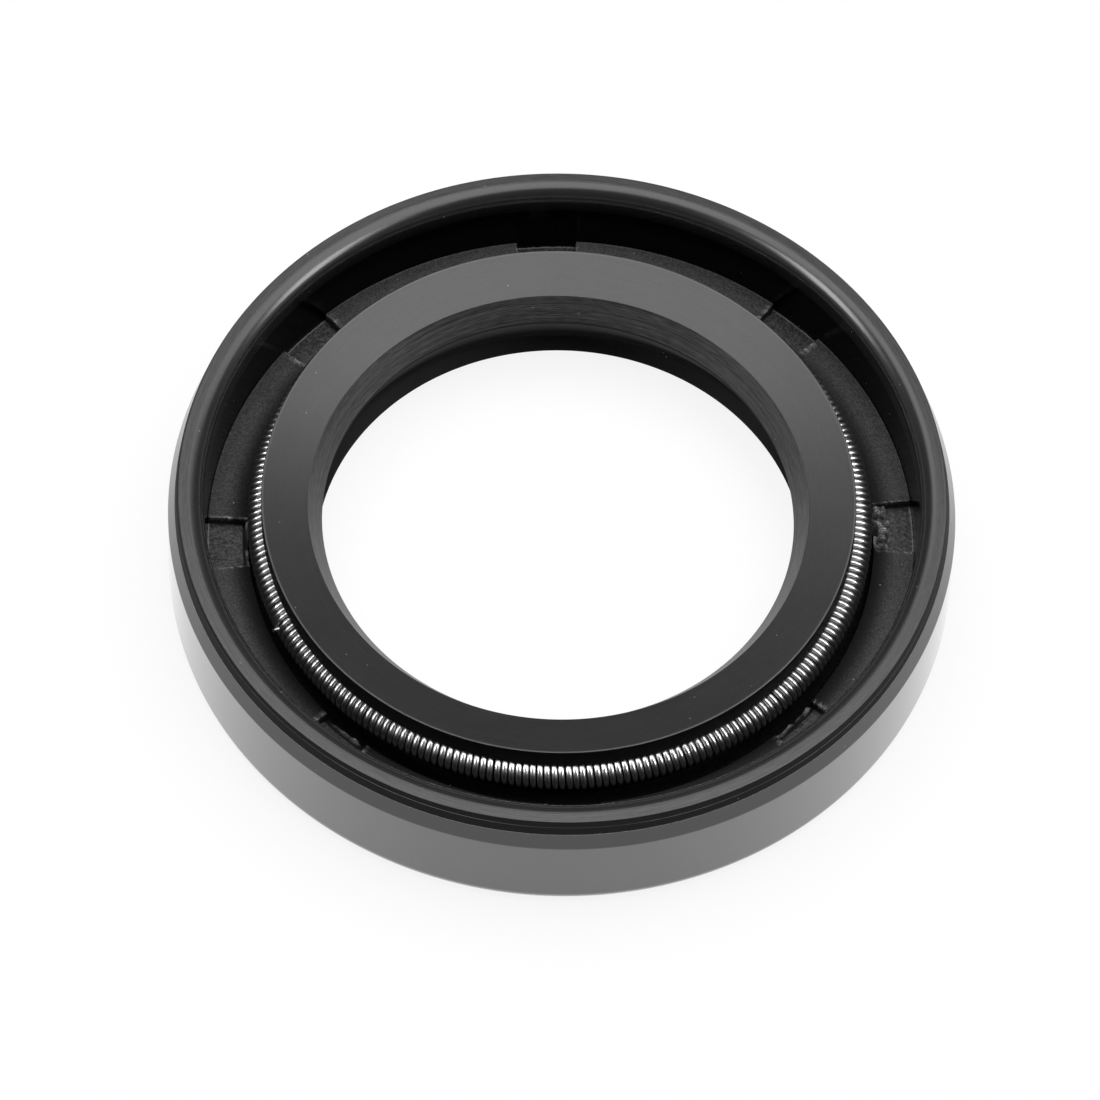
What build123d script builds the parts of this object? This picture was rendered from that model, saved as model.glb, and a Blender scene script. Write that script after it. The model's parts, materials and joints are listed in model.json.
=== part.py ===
"""Radial shaft seal, rubber covered, with a spring-loaded main lip and a dust lip.

Sizes are in millimetres.  The seal axis is Z.  The back face, towards the air, lies at
z = 0, and the spring side, towards the fluid, looks up.  Sections are drawn in the XZ
plane as (radius, height) and turned about Z.
"""

from build123d import *
from math import cos, pi, radians, sin, tan
import os

# ---- the two fits and the width ------------------------------------------------------
SHAFT_DIAMETER = 25.0
HOUSING_DIAMETER = 40.0
WIDTH = 7.0

# ---- outside cover and rim ------------------------------------------------------------
LEAD_IN_WIDTH = 0.35  # the cone that finds the housing bore
LEAD_IN_HEIGHT = 0.83
TRIM_WIDTH = 0.17  # the steeper band above it, up to the rim's top
TRIM_HEIGHT = 0.95
BACK_ROUNDING = 0.8
RIM_ROUNDING = 0.75
COVER_THICKNESS = 0.7  # rubber outside the steel
LINING_THICKNESS = 0.3  # rubber inside the steel, at the rim
RIM_COVER = 0.9  # rubber above the steel
RECESS_DRAFT = 2.3  # degrees that the recess narrows by towards its floor

# ---- steel case -----------------------------------------------------------------------
STEEL_THICKNESS = 0.8
CASE_BEND = 1.2  # outside radius of the drawn corner
BACK_COVER = 1.55  # rubber behind the web
WEB_COVER = 0.5  # rubber over the web
CASE_EDGE_COVER = 0.25  # rubber over the web's inner edge

# ---- pockets that the mould's supports leave in the web cover ----------------------------
POCKET_COUNT = 8
POCKET_ANGLE = 9.75  # degrees across one pocket
POCKET_PHASE = 4.3  # degrees from +X to the middle of the first pocket

# ---- main lip ---------------------------------------------------------------------------
LIP_INTERFERENCE = 0.5  # how far the free edge lies inside the shaft's surface
LIP_EDGE_HEIGHT = 4.31
LIP_LAND = 0.2  # contact band
LIP_TRIM_ANGLE = 30.0  # degrees from the axis, on the fluid side
LIP_TRIM_HEIGHT = 1.27
LIP_AIR_ANGLE = 25.0  # degrees from the axis, on the air side
HEAD_WIDTH = 2.37
HEAD_FALL = 16.1  # degrees that the head's face falls towards the shaft
HEAD_LAND = 1.27  # height of the head's outer land, down to the spring groove
NECK_SETBACK = 0.45  # how far the neck's foot lies inside the head's land
TROUGH_SHARE = 0.385  # of the way from the neck's foot to the recess wall
TROUGH_DEPTH = 0.9

# ---- garter spring and its groove ---------------------------------------------------------
SPRING_DIAMETER = 1.75  # over the turns
SPRING_WIRE = 0.32
SPRING_TURNS = 270
SPRING_SINK = 0.15  # how far the spring's centre line lies inside the head's land
SPRING_EDGES = 5  # edges round each turn
NOTCHED_EDGES = 2  # how many of them show the gaps between the turns
FIRST_EDGE_ANGLE = 36.0  # degrees up from outwards
GROOVE_CLEARANCE = 0.01

# ---- dust lip -------------------------------------------------------------------------------
DUST_INTERFERENCE = 0.05
DUST_EDGE_HEIGHT = 0.95
DUST_TOP_ANGLE = 40.0  # degrees from the back face's plane
DUST_BACK_ANGLE = 28.6

# ---- places that follow from the sizes above ------------------------------------------------
cover_r = HOUSING_DIAMETER / 2
case_outer_r = cover_r - COVER_THICKNESS
case_inner_r = case_outer_r - STEEL_THICKNESS
recess_r = case_inner_r - LINING_THICKNESS
web_bottom_z = BACK_COVER
web_top_z = web_bottom_z + STEEL_THICKNESS
recess_floor_z = web_top_z + WEB_COVER
recess_foot_r = recess_r - (WIDTH - recess_floor_z) * tan(radians(RECESS_DRAFT))

lip_edge_r = SHAFT_DIAMETER / 2 - LIP_INTERFERENCE
lip_land_top_z = LIP_EDGE_HEIGHT + LIP_LAND / 2
lip_land_bottom_z = LIP_EDGE_HEIGHT - LIP_LAND / 2
head_inner_r = lip_edge_r + LIP_TRIM_HEIGHT * tan(radians(LIP_TRIM_ANGLE))
head_inner_z = lip_land_top_z + LIP_TRIM_HEIGHT
head_outer_r = head_inner_r + HEAD_WIDTH
head_outer_z = head_inner_z + HEAD_WIDTH * tan(radians(HEAD_FALL))
neck_r = head_outer_r - NECK_SETBACK
web_inner_r = neck_r + TROUGH_SHARE * (recess_foot_r - neck_r)
case_hole_r = web_inner_r + CASE_EDGE_COVER
trough_z = recess_floor_z - TROUGH_DEPTH

# The groove is a hexagon round the spring, open outwards.  Its lowest corner is the lip's
# flank, and its upper side ends at the head's land, just past its top corner.
spring_ring_r = head_outer_r - SPRING_SINK
groove_r = (SPRING_DIAMETER / 2 + GROOVE_CLEARANCE) / cos(radians(30))
land_bottom_z = head_outer_z - HEAD_LAND
spring_z = land_bottom_z + SPRING_SINK * tan(radians(30)) - groove_r

dust_r = SHAFT_DIAMETER / 2 - DUST_INTERFERENCE
back_inner_r = dust_r + DUST_EDGE_HEIGHT / tan(radians(DUST_BACK_ANGLE))
# The hollow between the lips is deepest where the air-side cone meets the dust lip's top.
air_slope = tan(radians(LIP_AIR_ANGLE))
dust_slope = tan(radians(DUST_TOP_ANGLE))
hollow_z = (lip_edge_r - dust_r + lip_land_bottom_z * air_slope + DUST_EDGE_HEIGHT / dust_slope) / (
    air_slope + 1 / dust_slope
)
hollow_r = dust_r + (hollow_z - DUST_EDGE_HEIGHT) / dust_slope


def rounded(before, corner, after, radius):
    """Three points on the rounding of a corner: its start, its middle and its end."""
    to_before = (before - corner).normalized()
    to_after = (after - corner).normalized()
    half_angle = radians(to_before.get_angle(to_after)) / 2
    setback = radius / tan(half_angle)
    inset = radius / sin(half_angle) - radius
    middle = corner + (to_before + to_after).normalized() * inset
    return [corner + to_before * setback, middle, corner + to_after * setback]


def section(corners):
    """A face in the XZ plane from (radius, height) corners, or (radius, height, rounding)."""
    points = []
    for i, corner in enumerate(corners):
        here = Vector(*corner[:2])
        if len(corner) == 3:
            before = Vector(*corners[i - 1][:2])
            after = Vector(*corners[i + 1][:2])
            points += rounded(before, here, after, corner[2])
        else:
            points.append(here)
    return Plane.XZ * make_face(Polyline(points, close=True))


def steel_case():
    """The pressed ring: a leg under the outside cover and a web that carries the lip."""
    leg_top_z = WIDTH - RIM_COVER
    profile = section(
        [
            (case_hole_r, web_bottom_z),
            (case_outer_r, web_bottom_z, CASE_BEND),
            (case_outer_r, leg_top_z),
            (case_inner_r, leg_top_z),
            (case_inner_r, web_top_z),
            (case_hole_r, web_top_z),
        ]
    )
    return revolve(profile, Axis.Z)


def pockets():
    """The wedges that bare the steel web at the foot of the recess wall."""
    first_side = Rot(0, 0, POCKET_PHASE - POCKET_ANGLE / 2)
    profile = section(
        [
            (web_inner_r - WEB_COVER, web_top_z),
            (recess_foot_r, web_top_z),
            (recess_foot_r, recess_floor_z),
            (web_inner_r - WEB_COVER, recess_floor_z),
        ]
    )
    pocket = first_side * revolve(profile, Axis.Z, POCKET_ANGLE)
    return [Rot(0, 0, i * 360 / POCKET_COUNT) * pocket for i in range(POCKET_COUNT)]


def groove_corner(angle):
    """A corner of the spring groove's hexagon, in degrees up from outwards."""
    reach = groove_r * cos(radians(angle))
    return (spring_ring_r + reach, spring_z + groove_r * sin(radians(angle)))


def seal_body():
    """The whole rubber moulding in one turned section, less the steel and the pockets."""
    profile = section(
        [
            (back_inner_r, 0),
            (cover_r, 0, BACK_ROUNDING),
            (cover_r, WIDTH - TRIM_HEIGHT - LEAD_IN_HEIGHT),
            (cover_r - LEAD_IN_WIDTH, WIDTH - TRIM_HEIGHT),
            (cover_r - LEAD_IN_WIDTH - TRIM_WIDTH, WIDTH),
            (recess_r, WIDTH, RIM_ROUNDING),
            (recess_foot_r, recess_floor_z),
            (web_inner_r, recess_floor_z),
            (web_inner_r, trough_z),
            (neck_r, trough_z),
            groove_corner(270),
            groove_corner(210),
            groove_corner(150),
            groove_corner(90),
            (head_outer_r, land_bottom_z),
            (head_outer_r, head_outer_z),
            (head_inner_r, head_inner_z),
            (lip_edge_r, lip_land_top_z),
            (lip_edge_r, lip_land_bottom_z),
            (hollow_r, hollow_z),
            (dust_r, DUST_EDGE_HEIGHT),
        ]
    )
    return revolve(profile, Axis.Z) - steel_case() - pockets()


def garter_spring():
    """A ring of close turns, notched where it shows and plain where it seats."""
    ridge_r = SPRING_DIAMETER / 2
    notch_r = ridge_r - SPRING_WIRE / 3
    turn = 2 * pi / SPRING_TURNS

    def corner(station, edge):
        """Even stations are the turns themselves and odd ones are the gaps after them."""
        if edge % SPRING_EDGES >= NOTCHED_EDGES:
            station -= station % 2
        r = ridge_r if station % 2 == 0 else notch_r
        around = radians(FIRST_EDGE_ANGLE) + 2 * pi * edge / SPRING_EDGES
        along = (station / 2 + edge / SPRING_EDGES) * turn
        reach = spring_ring_r + r * cos(around)
        return (reach * cos(along), reach * sin(along), spring_z + r * sin(around))

    faces = []
    for station in range(2 * SPRING_TURNS):
        for edge in range(SPRING_EDGES):
            a = corner(station, edge)
            b = corner(station + 1, edge)
            c = corner(station + 1, edge + 1)
            d = corner(station, edge + 1)
            for triangle in ([a, b, c], [a, c, d]):
                if len(set(triangle)) == 3:
                    faces.append(Face(Wire.make_polygon(triangle)))
    return Solid(Shell(faces))


os.makedirs("parts", exist_ok=True)
for part, name in (
    (seal_body(), "seal_body"),
    (steel_case(), "steel_case"),
    (garter_spring(), "garter_spring"),
):
    part.label = name
    export_step(part, f"parts/{name}.step")
    print(name, round(part.volume, 2), "mm3")
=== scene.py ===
# %% [markdown]
# # A spring-loaded radial shaft seal
# The seal is a ring of black rubber moulded over a pressed steel case.  A thin lip rubs on
# the shaft, and a garter spring, a long close-wound coil joined into a ring, hugs it.
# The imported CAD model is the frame: it says where every piece sits, and this script gives
# the pieces their fine shape and finish, in metres, on that frame.

# %% Load the frame
import json
import math
import bpy
from mathutils import Matrix, Vector, noise


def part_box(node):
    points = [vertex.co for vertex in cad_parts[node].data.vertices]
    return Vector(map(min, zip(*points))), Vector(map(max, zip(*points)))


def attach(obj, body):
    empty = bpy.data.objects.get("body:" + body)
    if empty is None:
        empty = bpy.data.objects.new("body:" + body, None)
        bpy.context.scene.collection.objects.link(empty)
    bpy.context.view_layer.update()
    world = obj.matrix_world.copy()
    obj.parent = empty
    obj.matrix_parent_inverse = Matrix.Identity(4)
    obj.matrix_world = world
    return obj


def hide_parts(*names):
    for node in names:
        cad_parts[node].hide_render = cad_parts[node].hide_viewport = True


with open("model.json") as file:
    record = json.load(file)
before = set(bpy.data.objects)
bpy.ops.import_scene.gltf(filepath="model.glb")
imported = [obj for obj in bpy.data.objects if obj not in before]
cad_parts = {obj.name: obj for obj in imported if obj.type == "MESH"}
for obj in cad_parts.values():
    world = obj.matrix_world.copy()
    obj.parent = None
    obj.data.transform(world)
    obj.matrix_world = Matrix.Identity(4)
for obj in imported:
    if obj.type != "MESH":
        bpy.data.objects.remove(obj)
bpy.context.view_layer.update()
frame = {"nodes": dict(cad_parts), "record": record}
MM = 0.001
print("nodes", sorted(frame["nodes"]))

# %% [markdown]
# ## Reading sizes off the frame
# The outside radius, the width and the steel's place are read from the CAD boxes, and the
# free lip from the mount that the record states.  What no box shows, such as a draft or
# the angle of a lip, is a named value in millimetres or degrees.

# %% Main sizes
body_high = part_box("seal_body")[1] / MM
steel_low, steel_high = (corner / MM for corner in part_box("steel_case"))
lip_mount = next(m for m in frame["record"]["mounts"] if m["name"] == "shaft_lip")

COVER_R = body_high.x
WIDTH = body_high.z
CASE_OUTER_R = steel_high.x
CASE_TOP_Z = steel_high.z
WEB_BOTTOM_Z = steel_low.z
STEEL_THICKNESS = 0.8
LINING_THICKNESS = 0.3
WEB_COVER = 0.5
RECESS_DRAFT = math.radians(2.3)
TROUGH_DEPTH = 0.9
LIP_EDGE_R = lip_mount["dims"]["r_mm"]
LIP_EDGE_Z = lip_mount["pos_m"][2] / MM
LIP_LAND = lip_mount["dims"]["length_mm"]

CASE_INNER_R = CASE_OUTER_R - STEEL_THICKNESS
CASE_HOLE_R = 16.2
WEB_TOP_Z = WEB_BOTTOM_Z + STEEL_THICKNESS
WEB_INNER_R = 15.95
FLOOR_Z = WEB_TOP_Z + WEB_COVER
RECESS_R = CASE_INNER_R - LINING_THICKNESS
RECESS_FOOT_R = RECESS_R - (WIDTH - FLOOR_Z) * math.tan(RECESS_DRAFT)
TROUGH_Z = FLOOR_Z - TROUGH_DEPTH
print("outside", round(COVER_R, 2), "recess", round(RECESS_R, 2), "floor", round(FLOOR_Z, 2))

# %% [markdown]
# ## The picture frame
# The camera comes first, so that every later step can be looked at from the same place.
# It stands half a metre off with a long lens, which keeps the circles near true ellipses.
# It leans a little, and stands a little aside of the seal's middle.

# %% Camera
FRAME_SIDE = 1100
TOP_CENTRE_X, TOP_CENTRE_Y = 562.7, 491.0
PIXELS_PER_MM = 19.747
CAMERA_ELEVATION = math.radians(57.83)
CAMERA_ROLL = math.radians(-2.26)
CAMERA_DISTANCE = 506.4
SENSOR = 36.0


def add_object(name, data):
    """A new object in the scene."""
    made = bpy.data.objects.new(name, data)
    bpy.context.scene.collection.objects.link(made)
    return made


def make_camera():
    """The camera, aimed past the middle of the seal's top face."""
    right = Vector((1, 0, 0))
    up = Vector((0, math.sin(CAMERA_ELEVATION), math.cos(CAMERA_ELEVATION)))
    back = right.cross(up)
    lean_right = right * math.cos(CAMERA_ROLL) - up * math.sin(CAMERA_ROLL)
    lean_up = right * math.sin(CAMERA_ROLL) + up * math.cos(CAMERA_ROLL)
    aside = (TOP_CENTRE_X - FRAME_SIDE / 2) / PIXELS_PER_MM
    above = (FRAME_SIDE / 2 - TOP_CENTRE_Y) / PIXELS_PER_MM
    top_centre = Vector((0, 0, WIDTH))
    place = top_centre + back * CAMERA_DISTANCE - lean_right * aside - lean_up * above
    data = bpy.data.cameras.new("camera")
    data.sensor_width = SENSOR
    data.lens = SENSOR * CAMERA_DISTANCE * PIXELS_PER_MM / FRAME_SIDE
    data.clip_start = 0.05
    data.clip_end = 10.0
    made = add_object("camera", data)
    turn = Matrix((lean_right, lean_up, back)).transposed()
    made.matrix_world = Matrix.Translation(place * MM) @ turn.to_4x4()
    bpy.context.scene.camera = made
    return made


camera = make_camera()
print("lens", round(camera.data.lens, 1), "mm")

# %% [markdown]
# ## Turned sections
# Both the rubber and the steel are sections turned about Z.  A Screw modifier could spin
# a section, but it gives every angle the same shape.  Here the mesh is a closed grid of
# columns, one for each angle, and rows, one for each point of the section, so that single
# angles can be lowered into pockets or pushed aside, and the surface stays closed.
# A rounding is a few rows on an arc, with a row on each side that keeps the flats flat.

# %% Section rows
SUPPORT = 0.02
ARC_STEP = math.radians(18)
LONGEST_ROW = 1.0
SMOOTH = None


def corner_rows(before, corner, after, rounding):
    """Points round one corner, with a support point on each side that keeps flats flat."""
    to_before, to_after = before - corner, after - corner
    room = min(to_before.length, to_after.length)
    to_before.normalize()
    to_after.normalize()
    if rounding == 0:
        support = min(SUPPORT, room / 4)
        return [corner + to_before * support, corner, corner + to_after * support]
    half_angle = to_before.angle(to_after) / 2
    setback = min(rounding / math.tan(half_angle), room - 3 * SUPPORT)
    radius = setback * math.tan(half_angle)
    centre = corner + (to_before + to_after).normalized() * (radius / math.sin(half_angle))
    start = corner + to_before * setback - centre
    end = corner + to_after * setback - centre
    turn = start.angle_signed(end)
    steps = max(2, math.ceil(abs(turn) / ARC_STEP))
    rows = [corner + to_before * (setback + SUPPORT)]
    for i in range(steps + 1):
        rows.append(centre + Matrix.Rotation(-turn * i / steps, 2) @ start)
    rows.append(corner + to_after * (setback + SUPPORT))
    return rows


def section_rows(corners):
    """(radius, height, finish) rows from (radius, height, rounding, finish) corners.

    A corner's finish is that of the stretch that follows it.  A rounding of 0 is a sharp
    corner, and SMOOTH is one point of a curve.
    """
    rows = []
    places = [Vector(corner[:2]) for corner in corners]
    for i, (r, z, rounding, given) in enumerate(corners):
        if rounding is SMOOTH:
            rows.append((r, z, given))
            continue
        after = places[(i + 1) % len(corners)]
        arc = corner_rows(places[i - 1], places[i], after, rounding)
        half = len(arc) // 2
        rows += [(p.x, p.y, corners[i - 1][3]) for p in arc[:half]]
        rows += [(p.x, p.y, given) for p in arc[half:]]
    filled = []
    for i, row in enumerate(rows):
        filled.append(row)
        here, there = Vector(row[:2]), Vector(rows[(i + 1) % len(rows)][:2])
        parts = math.ceil((there - here).length / LONGEST_ROW)
        for k in range(1, parts):
            p = here.lerp(there, k / parts)
            filled.append((p.x, p.y, row[2]))
    return filled

# %% Turned grid
def turned_mesh(name, rows, columns, place):
    """A closed grid of the rows at each angle; place(angle, row) gives the point in mm."""
    verts = [place(angle, row) for angle in columns for row in rows]
    n = len(rows)
    faces = []
    for i in range(len(columns)):
        for j in range(n):
            a, b = i * n, (i + 1) % len(columns) * n
            k = (j + 1) % n
            faces.append((a + j, b + j, b + k, a + k))
    mesh = bpy.data.meshes.new(name)
    mesh.from_pydata([Vector(v) * MM for v in verts], [], faces)
    mesh.shade_smooth()
    print(name, "has", 2 * len(faces), "triangles")
    return add_object(name, mesh)


# %% [markdown]
# ## Eight pockets in the floor
# While the rubber is moulded, eight supports hold the steel up.  Each leaves a pocket
# through which the bare web shows.  A Boolean could cut them, but it leaves ragged faces
# for smooth shading.  So the grid gets a few close columns round each side of a pocket,
# and the floor drops between them over a hair's breadth.  Torn rubber lies in the first
# pocket, so it also gets columns all the way across.

# %% Pocket columns
POCKET_COUNT = 8
POCKET_ANGLE = math.radians(9.75)
POCKET_PHASE = math.radians(4.3)
FLOOR_MIDDLE_R = (WEB_INNER_R + RECESS_FOOT_R) / 2
PLAIN_COLUMNS = 300
TORN_COLUMNS = 20
SIDE_OFFSETS = (-0.05, -0.03, -0.015, 0.0, 0.015, 0.03, 0.05)


def pocket_inside(angle):
    """How far inside the nearest pocket an angle is, in mm; less than 0 is outside."""
    pitch = 2 * math.pi / POCKET_COUNT
    off = (angle - POCKET_PHASE + pitch / 2) % pitch - pitch / 2
    return (POCKET_ANGLE / 2 - abs(off)) * FLOOR_MIDDLE_R


def spaced(count, first=0.0):
    """Angles evenly spaced round the whole ring."""
    return [first + 2 * math.pi * i / count for i in range(count)]


def pocket_columns():
    """The angles of the rubber's columns, close together at the sides of each pocket."""
    angles = spaced(PLAIN_COLUMNS)
    for middle in spaced(POCKET_COUNT, POCKET_PHASE):
        for side in (-1, 1):
            edge = middle + side * POCKET_ANGLE / 2
            angles += [edge + offset / FLOOR_MIDDLE_R for offset in SIDE_OFFSETS]
    for k in range(1, TORN_COLUMNS):
        angles.append(POCKET_PHASE + POCKET_ANGLE * (k / TORN_COLUMNS - 0.5))
    return sorted(angle % (2 * math.pi) for angle in angles)


columns = pocket_columns()
print(len(columns), "columns")

# %% [markdown]
# ## The rubber body
# One section holds everything the mould gave: the cover, the lead-in cone that finds the
# housing bore, the rim, the recess, the hinge of the lip, the lip's head with its spring
# groove, and the dust lip.  The sizes come first.

# %% Sizes of the rubber
LEAD_IN_TOP_R = COVER_R - 0.35
LEAD_IN_TOP_Z = WIDTH - 0.95
LEAD_IN_FOOT_Z = LEAD_IN_TOP_Z - 0.83
RIM_OUTER_R = LEAD_IN_TOP_R - 0.17
RIM_OUTER_Z = WIDTH - 0.03
RIM_ROUNDING = 0.75
BACK_ROUNDING = 0.8

HEAD_INNER_R = LIP_EDGE_R + 0.73
HEAD_INNER_Z = LIP_EDGE_Z + 1.37
HEAD_OUTER_R = HEAD_INNER_R + 2.37
HEAD_OUTER_Z = HEAD_INNER_Z + 0.68
HEAD_ROUNDING = 0.07
CUT_EDGE_WIDTH = 0.06
CUT_EDGE_FALL = 0.045
NECK_R = HEAD_OUTER_R - 0.45

DUST_R = 12.45
DUST_Z = 0.95
HOLLOW_R, HOLLOW_Z = 13.21, 1.59
BACK_INNER_R = 14.19
print("head from", round(HEAD_INNER_R, 2), "to", round(HEAD_OUTER_R, 2))

# %% [markdown]
# ## Finishes of the rubber
# Black rubber shows how each stretch was made: polished, grained, ground or trimmed.  Many
# small materials would meet in hard lines.  So a finish is five numbers that go onto the
# mesh as attributes and blend from row to row: its grey, its roughness, and how strongly
# fine pebbles, turning lines and a coarse grain mark it.

# %% Finishes
FINISH_VALUES = ("grey", "rough", "pebble", "lines", "coarse")


def finish(grey, rough, pebble=0.1, lines=0.0, coarse=0.0):
    """A finish: its grey and roughness, then how strongly three textures mark it."""
    return (grey, rough, pebble, lines, coarse)


COVER = finish(0.03, 0.16, pebble=0.3)
UNDERSIDE = finish(0.05, 0.45, pebble=0.5)
LEAD_IN = finish(0.004, 0.25, pebble=0.3)
PARTING_PAINTED_HIGHLIGHT = finish(0.3, 0.5)
TRIM_LINE_PAINTED_HIGHLIGHT = finish(0.31, 0.5)
TRIMMED = finish(0.015, 0.6, pebble=0.3)
RIM_TOP = finish(0.034, 0.4, pebble=0.5, lines=0.45)
ROLLED = finish(0.024, 0.26, pebble=0.2)
POLISHED = finish(0.001, 0.16)
GRAINED = finish(0.026, 0.6, pebble=0.6, coarse=1.4)
HINGE_PAINTED_SHADE = finish(0.003, 1.0, pebble=0.6, coarse=1.0)
TROUGH = finish(0.006, 0.8, pebble=0.6, coarse=1.4)
SHADED = finish(0.001, 0.5)
LAND = finish(0.01, 0.6)
CUT_EDGE = finish(0.08, 0.4)
GROUND = finish(0.031, 0.33, pebble=0.2, lines=0.12)
TURNED = finish(0.038, 0.4, lines=1.0)
CONTACT = finish(0.012, 0.6)
AIR_SIDE = finish(0.009, 0.6, pebble=0.3)
DUST_LIP = finish(0.014, 0.6, pebble=0.3)

CUT_FINISHES = (TRIMMED, POLISHED, CONTACT, AIR_SIDE, DUST_LIP, LAND, TROUGH, SHADED)
COVER_FINISHES = (COVER, LEAD_IN)


def with_grey(given, grey_level):
    """The same finish with another grey."""
    return (grey_level, *given[1:])


print(len(CUT_FINISHES), "finishes are dull and", len(COVER_FINISHES), "have a second gloss")

# %% [markdown]
# ## Rows where a finish fades, and painted shade on the floor
# Under the rim the grey fades out into polished black, and painted shade darkens the floor
# towards the hinge of the lip.  Both get a few close rows, because a finish can only change
# where there is a row to carry it.

# %% Wall and floor
WALL_FADE = ((0.9, 0.75), (1.05, 0.5), (1.2, 0.25), (1.35, 0.08))
WALL_BAND = 1.5
FLOOR_ROWS = 13
FLOOR_FIRST_R = RECESS_FOOT_R - 0.15
FLOOR_LAST_R = WEB_INNER_R + 0.25
FLOOR_PAINTED_SHADE_WIDTH = 1.1
FLOOR_PAINTED_SHADE_DARKEST = 0.1
HINGE_SIDE_R = WEB_INNER_R + 0.18


def clamped(value, low=0, high=1):
    return min(max(value, low), high)


def smoothstep(t):
    """0 to 1 with a soft start and a soft end."""
    t = clamped(t)
    return t * t * (3 - 2 * t)


def wall_corner(depth, given):
    """A row on the drafted recess wall, at a depth below the rim."""
    return (RECESS_R - depth * math.tan(RECESS_DRAFT), WIDTH - depth, SMOOTH, given)


def wall_corners():
    """Rows under the rim's rounding, where its grey fades out into polished black."""
    fading = [
        wall_corner(depth, with_grey(ROLLED, ROLLED[0] * share)) for depth, share in WALL_FADE
    ]
    return [*fading, wall_corner(WALL_BAND, POLISHED)]


def floor_corners():
    """Close rows across the floor, with painted shade that darkens it towards the hinge, where it
    also gets duller.
    """
    corners = []
    for i in range(FLOOR_ROWS):
        r = FLOOR_FIRST_R + (FLOOR_LAST_R - FLOOR_FIRST_R) * i / (FLOOR_ROWS - 1)
        # painted shade: the share of the grained floor's grey falls towards the hinge
        light = FLOOR_PAINTED_SHADE_DARKEST + (1 - FLOOR_PAINTED_SHADE_DARKEST) * smoothstep((r - FLOOR_LAST_R) / FLOOR_PAINTED_SHADE_WIDTH)
        rough = 1 - (1 - GRAINED[1]) * light
        shade = finish(GRAINED[0] * light, rough, *GRAINED[2:])
        corners.append((r, FLOOR_Z, SMOOTH, shade))
    return corners


print(len(wall_corners()), "rows on the wall and", FLOOR_ROWS, "on the floor")

# %% [markdown]
# ## The spring's groove
# The groove holds the spring over more than half a turn, so that it can't climb out.  It
# is an arc a little wider than the coil, from the neck's flank up to the head's land.

# %% Groove
SPRING_R = 0.875
SPRING_Z = 4.16
GROOVE_RING_R = HEAD_OUTER_R - 0.15
GROOVE_R = 0.97
GROOVE_STEPS = 12
GROOVE_START = math.radians(268)
GROOVE_END = math.acos((HEAD_OUTER_R - GROOVE_RING_R) / GROOVE_R)
LAND_BOTTOM_Z = SPRING_Z + GROOVE_R * math.sin(GROOVE_END)


def groove_corners():
    """The spring's groove, from the flank below the spring up to the head's land."""
    corners = []
    for i in range(GROOVE_STEPS):
        a = GROOVE_START + (GROOVE_END - GROOVE_START) * i / GROOVE_STEPS
        r = GROOVE_RING_R + GROOVE_R * math.cos(a)
        corners.append((r, SPRING_Z + GROOVE_R * math.sin(a), SMOOTH, SHADED))
    return corners


print("the groove ends at a height of", round(LAND_BOTTOM_Z, 2))

# %% [markdown]
# ## The whole section
# The corners run from the back face's inner edge outwards, up the cover, over the rim,
# down the recess and up to the head, and back down both lips.  Two hairlines come from the
# making: the mould's parting ridge above the lead-in cone, and the line that the trimming
# blade left.  Both are small real ridges, and their pale grey is partly their own and partly
# a painted highlight along the edge.

# %% Section of the rubber
PARTING_WIDTH = 0.05
PARTING_HEIGHT = 0.015
TRIM_LINE_Z = WIDTH - 0.36
TRIM_LINE_WIDTH = 0.04
TRIM_LINE_FOOT_R = RIM_OUTER_R + 0.08
TRIM_LINE_TOP_R = RIM_OUTER_R + 0.085
ROLLED_EDGE = 0.03

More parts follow.
